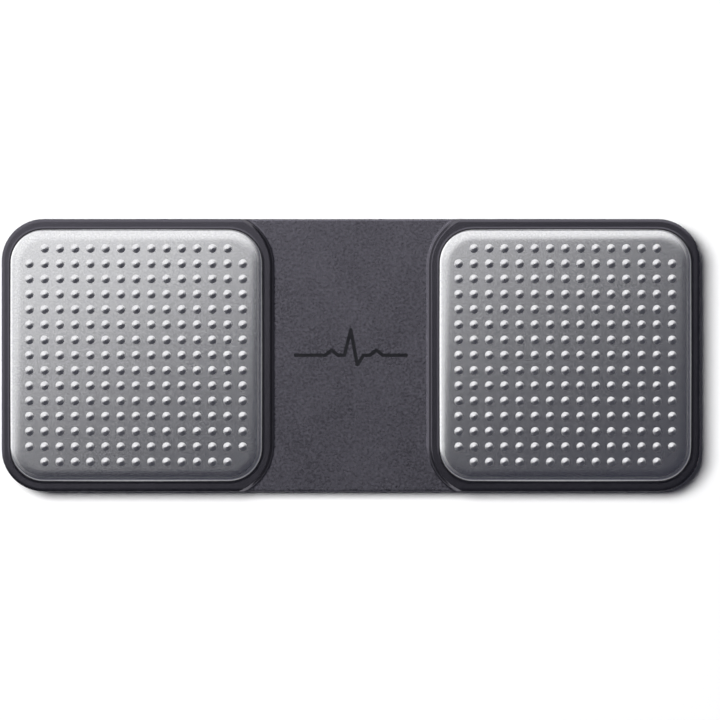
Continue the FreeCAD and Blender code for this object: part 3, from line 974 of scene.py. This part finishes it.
def front_housing():
    """Top shell: frames, panel, the left pad's deck and the bay for the cell."""
    shell = shouldered_body()
    combine(shell, frame_form(-1), "INTERSECT")
    right = shouldered_body()
    combine(right, frame_form(1), "INTERSECT")
    combine(shell, lower_panel(), "UNION")
    combine(shell, right, "UNION")
    combine(shell, seat_lip(-1), "UNION")
    combine(shell, seat_lip(1), "UNION")
    combine(shell, body_slab("cavity", SHELL_WALL, BELOW, DECK_BOTTOM), "DIFFERENCE")
    groove = pad_slab("groove", -1, SEAM, PANEL_TOP, ABOVE)
    combine(groove, pad_slab("deck", -1, -DECK_INSET, BELOW, DECK_TOP), "DIFFERENCE")
    combine(shell, groove, "DIFFERENCE")
    combine(shell, pad_slab("bay", 1, SEAM, LEDGE_TOP, ABOVE), "DIFFERENCE")
    combine(shell, pad_slab("opening", 1, -LEDGE_INSET, BELOW, ABOVE), "DIFFERENCE")
    combine(shell, block("window", *SPRING_WINDOW, BELOW, ABOVE), "DIFFERENCE")
    combine(shell, mark_form("mark_groove", PANEL_TOP - TRACE_DEPTH, ABOVE, TRACE_HALF), "DIFFERENCE")
    finish_piece(shell, "front_housing", "front_plastic", "housing")


def mark_form(name, low, high, half):
    """Pulse trace as one block of constant half width with round corners and ends."""
    trace = disc(name, *TRACE_PLACES[0], half, low, high, 24)
    for start, end in zip(TRACE_PLACES, TRACE_PLACES[1:]):
        run = math.hypot(end[0] - start[0], end[1] - start[1])
        turn = math.atan2(end[1] - start[1], end[0] - start[0])
        middle = ((start[0] + end[0]) / 2, (start[1] + end[1]) / 2, (low + high) / 2)
        bpy.ops.mesh.primitive_cube_add(
            size=1, location=middle, rotation=(0, 0, turn), scale=(run, 2 * half, high - low))
        combine(trace, named("stroke"), "UNION")
        combine(trace, disc("joint", *end, half, low, high, 24), "UNION")
    return trace


def pulse_mark():
    """Gloss trace let into the panel."""
    mark = mark_form("pulse_trace", PANEL_TOP - TRACE_DEPTH, PANEL_TOP - TRACE_SUNK, TRACE_HALF - TRACE_PLAY)
    finish_piece(mark, "pulse_mark", "mark_lacquer", "housing")


def turned(piece, x, y, degrees):
    """Turn a piece about an upright line, anticlockwise seen from above."""
    start_editing(piece)
    bpy.ops.mesh.select_all(action="SELECT")
    bpy.ops.transform.rotate(value=-math.radians(degrees), orient_axis="Z", center_override=(x, y, 0))
    stop_editing()


def cell_ring():
    """Low wall round the cell, open where its two contacts pass."""
    ring = disc("cell_ring", PAD_X, 0, RING_OUTER, FLOOR_ROOT, RING_TOP, 96)
    combine(ring, disc("ring_bore", PAD_X, 0, RING_INNER, BELOW, ABOVE, 96), "DIFFERENCE")
    start = PAD_X - RING_OUTER - 1
    way = block("negative_way", start, PAD_X, -NEGATIVE_HALF, NEGATIVE_HALF, FLOOR_TOP, ABOVE)
    combine(ring, way, "DIFFERENCE")
    way = block("positive_way", start, PAD_X, -POSITIVE_HALF, POSITIVE_HALF, FLOOR_TOP, ABOVE)
    turned(way, PAD_X, 0, POSITIVE_TURN)
    combine(ring, way, "DIFFERENCE")
    return ring


def staked_post(x, y):
    """Standoff, post through the board and the domed head formed over it."""
    post = disc("board_post", x, y, POST_RADIUS, FLOOR_ROOT, BOARD_LOW, 32)
    stem = disc("post_stem", x, y, STEM_RADIUS, BOARD_LOW - OVERLAP, BOARD_TOP + OVERLAP, 32)
    combine(post, stem, "UNION")
    head = disc("post_head", x, y, HEAD_RADIUS, BOARD_TOP, HEAD_TOP, 32)
    soften(head, at_height(HEAD_TOP), HEAD_ROUND, 3)
    combine(post, head, "UNION")
    return post


def rear_housing():
    """Bottom shell: floor, wall, locating lip, cell ring, board posts and release hole."""
    tray = body_slab("rear_housing_shell", 0, 0, PARTING)
    soften(tray, at_height(0), REAR_EDGE, 6)
    soften(tray, at_height(PARTING), PARTING_BREAK)
    lip = body_slab("locating_lip", LIP_OUTER, LIP_ROOT, LIP_TOP)
    soften(lip, at_height(LIP_TOP), LIP_BREAK)
    combine(tray, lip, "UNION")
    combine(tray, body_slab("tray_hollow", LIP_INNER, FLOOR_TOP, ABOVE), "DIFFERENCE")
    bead = body_slab("bead_groove", BOND_OUTER, BOND_LOW, LIP_TOP)
    combine(bead, body_slab("bead_inside", BOND_INNER, BELOW, ABOVE), "DIFFERENCE")
    combine(tray, bead, "DIFFERENCE")
    combine(tray, cell_ring(), "UNION")
    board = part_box("circuit_board")
    left = board[0][0] / MILLIMETRE + POST_INSET
    right = board[1][0] / MILLIMETRE - POST_INSET
    deep = board[1][1] / MILLIMETRE - POST_INSET
    for x in (left, 0, right):
        for y in (-deep, deep):
            combine(tray, staked_post(x, y), "UNION")
    guide = disc("release_guide", RELEASE_X, RELEASE_Y, GUIDE_RADIUS, FLOOR_ROOT, GUIDE_TOP, 40)
    combine(tray, guide, "UNION")
    hole = disc("release_hole", RELEASE_X, RELEASE_Y, RELEASE_RADIUS, BELOW, ABOVE, 40)
    combine(tray, hole, "DIFFERENCE")
    soften(tray, lambda edge: at_height(0)(edge) and all(
        math.hypot(vert.co.x - RELEASE_X, vert.co.y - RELEASE_Y) < RELEASE_RADIUS + 0.1
        for vert in edge.verts), RELEASE_BREAK, 1)
    finish_piece(tray, "rear_housing", "rear_plastic", "housing")


def battery_door():
    """Carrier under the right pad: plate, skirt with grip ribs, and the boss for the release pin."""
    plate = pad_slab("battery_door_carrier", 1, -CARRIER_INSET, LEDGE_TOP, DECK_TOP)
    soften(plate, at_height(DECK_TOP), CARRIER_BREAK)
    root = LEDGE_TOP + OVERLAP
    skirt = pad_slab("door_skirt", 1, -SKIRT_OUTER, SKIRT_LOW, root)
    combine(skirt, pad_slab("skirt_inside", 1, -SKIRT_INNER, BELOW, ABOVE), "DIFFERENCE")
    soften(skirt, at_height(SKIRT_LOW), SKIRT_BREAK)
    combine(plate, skirt, "UNION")
    for side_x, side_y in FOUR_WAYS:
        for along in (-RIB_ALONG, RIB_ALONG):
            x = PAD_X + side_x * RIB_PLACE + abs(side_y) * along
            y = side_y * RIB_PLACE + abs(side_x) * along
            rib = disc("grip_rib", x, y, RIB_RADIUS, SKIRT_LOW, root, 20)
            soften(rib, at_height(SKIRT_LOW), SKIRT_BREAK)
            combine(plate, rib, "UNION")
    boss = disc("push_boss", RELEASE_X, RELEASE_Y, BOSS_RADIUS, BOSS_LOW, root, 32)
    soften(boss, at_height(BOSS_LOW), BOSS_ROUND)
    combine(plate, boss, "UNION")
    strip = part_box("door_contact_strip")
    near = strip[0][1] / MILLIMETRE - RISER_PLAY
    far = strip[1][1] / MILLIMETRE + RISER_PLAY
    riser = strip[0][0] / MILLIMETRE + RISER_PLACE
    riser_far = riser + RISER_SHEET + RISER_PLAY
    slot = block("strip_slot", riser - RISER_PLAY, riser_far, near, far, BELOW, ABOVE)
    combine(plate, slot, "DIFFERENCE")
    finish_piece(plate, "battery_door", "door_plastic", "door")


def coin_cell_can():
    """Upturned cup with a rounded shoulder, a shallow stamped ring and a crimped mouth."""
    can = disc("coin_cell_cup", PAD_X, 0, CELL_RADIUS, CELL_LOW, CELL_TOP, 96)
    soften(can, at_height(CELL_TOP), CAN_WALL, 4)
    start_editing(can)
    pick_faces(can, at_height(CELL_TOP))
    step_in(CAN_STAMP)
    pick_faces(can, at_height(CELL_LOW))
    bpy.ops.mesh.inset(thickness=CAN_WALL, depth=0)
    deep = CELL_TOP - CAN_WALL - CELL_LOW
    bpy.ops.mesh.extrude_region_move(TRANSFORM_OT_translate={"value": (0, 0, deep)})
    stop_editing()
    soften(can, lambda edge: at_height(CELL_LOW)(edge) and all(
        math.hypot(vert.co.x - PAD_X, vert.co.y) > CELL_RADIUS - NEAR for vert in edge.verts),
        CAN_MOUTH_ROUND)
    finish_piece(can, "coin_cell_can", "cell_steel", "coin_cell")


# ---------------------------------------------------------------- floor, light and camera

def studio_floor():
    """Plain pale floor that keeps the monitor's shadow, clear from below and to the back that lies on it."""
    bpy.ops.mesh.primitive_plane_add(size=6, location=(0, 0, -FLOOR_DROP * MILLIMETRE))
    floor = bpy.context.object
    floor.name = "studio_floor"
    finish = Finish("studio_floor", roughness=0.9)
    tree = finish.tree
    clouds = noise(tree, finish.place, 3.0, 1.0)
    colour = blend_colours(tree, clouds, (0.955, 0.955, 0.955, 1.0), (0.965, 0.965, 0.965, 1.0))
    finish.feed("Base Color", colour)
    finish.shader.inputs["Specular IOR Level"].default_value = 0.0
    finish.shader.inputs["Emission Color"].default_value = (1.0, 1.0, 1.0, 1.0)
    rays = tree.nodes.new("ShaderNodeLightPath")
    seen = maths(tree, "MAXIMUM", rays.outputs["Is Camera Ray"], rays.outputs["Is Glossy Ray"])
    seen = maths(tree, "MAXIMUM", seen, rays.outputs["Is Transmission Ray"])
    finish.feed("Emission Strength", maths(tree, "MULTIPLY", seen, 0.003))
    clear = tree.nodes.new("ShaderNodeBsdfTransparent")
    behind = tree.nodes.new("ShaderNodeNewGeometry").outputs["Backfacing"]
    close = maths(tree, "LESS_THAN", rays.outputs["Ray Length"], UNDERSIDE_REACH * MILLIMETRE)
    either_shader(tree, maths(tree, "MAXIMUM", behind, close), finish.shader.outputs["BSDF"],
                  clear.outputs["BSDF"], tree.nodes["Material Output"].inputs["Surface"])
    floor.data.materials.append(finish.material)


def area_lamp(name, form, place, tilt, size, level):
    """A flat lamp of even brightness; its tilt is in degrees."""
    rotation = tuple(math.radians(angle) for angle in tilt)
    bpy.ops.object.light_add(type="AREA", location=place, rotation=rotation)
    lamp = bpy.context.object
    lamp.name = name
    lamp.data.shape = form
    lamp.data.size, lamp.data.size_y = size
    fill = math.pi / 4 if form == "ELLIPSE" else 1
    lamp.data.energy = level * math.pi * fill * size[0] * size[1]
    return lamp


def studio_light():
    """Lamp to the upper left, wide panel for gloss and metal, and dim surround with a pale horizon."""
    key = area_lamp("key_lamp", "RECTANGLE", KEY_PLACE, KEY_TILT, KEY_SIZE, KEY_LEVEL)
    key.visible_glossy = False
    panel = area_lamp("gloss_panel", "ELLIPSE", GLOSS_PLACE, GLOSS_TILT, GLOSS_SIZE, GLOSS_LEVEL)
    panel.visible_diffuse = False
    world = bpy.data.worlds.new("surround")
    world.use_nodes = True
    tree = world.node_tree
    surround = tree.nodes["Background"]
    rays = tree.nodes.new("ShaderNodeLightPath")
    way = split(tree, tree.nodes.new("ShaderNodeTexCoord").outputs["Generated"])
    shaded = spread(tree, way["X"], 0.3, 0.8, 1.0, FAR_SIDE)
    even = spread(tree, way["Z"], HORIZON_LOW, HORIZON_HIGH, 1.0, 0.0)
    band = maths(tree, "MULTIPLY", even, shaded)
    glow = spread(tree, way["Z"], HORIZON_HIGH, SKY_GLOW_TOP, SKY_GLOW, 0.0)
    horizon = maths(tree, "MAXIMUM", band, glow)
    pale = spread(tree, horizon, 0.0, SKY_GLOW, 0.0, 1.0)
    hue = blend_colours(tree, pale, (0.78, 0.8, 1.25, 1.0), (1.0, 1.0, 1.02, 1.0))
    tree.links.new(hue, surround.inputs["Color"])
    gloss = spread(tree, horizon, 0.0, 1.0, SURROUND_GLOSS, HORIZON_GLOSS)
    dim = spread(tree, rays.outputs["Is Glossy Ray"], 0.0, 1.0, SURROUND_DIFFUSE, gloss)
    under = spread(tree, way["Z"], -0.06, -0.03, UNDERSIDE, 0.0)
    tree.links.new(maths(tree, "MAXIMUM", dim, under), surround.inputs["Strength"])
    backdrop = tree.nodes.new("ShaderNodeBackground")
    backdrop.inputs["Color"].default_value = (1.0, 1.0, 1.0, 1.0)
    either_shader(tree, rays.outputs["Is Camera Ray"], surround.outputs["Background"],
                  backdrop.outputs["Background"], tree.nodes["World Output"].inputs["Surface"])
    bpy.context.scene.world = world


def camera():
    """Straight down from far off, a little to the right of the middle."""
    bpy.ops.object.camera_add(location=CAMERA_PLACE, rotation=(0, 0, 0))
    eye = bpy.context.object
    eye.name = "camera"
    eye.data.sensor_width = 36
    eye.data.lens = eye.data.sensor_width * CAMERA_AWAY / VIEW_WIDTH
    eye.data.clip_end = 20
    bpy.context.scene.camera = eye


bpy.context.scene.view_settings.view_transform = "Standard"

camera()
studio_floor()
studio_light()
front_housing()
pulse_mark()
electrodes()
electrode_films()
rear_housing()
battery_door()
coin_cell_can()

for row in frame["record"]["subparts"]:
    node = frame["nodes"][row["node"]]
    node.data.materials.clear()
    node.data.materials.append(FINISHES[row["material_slot"]])
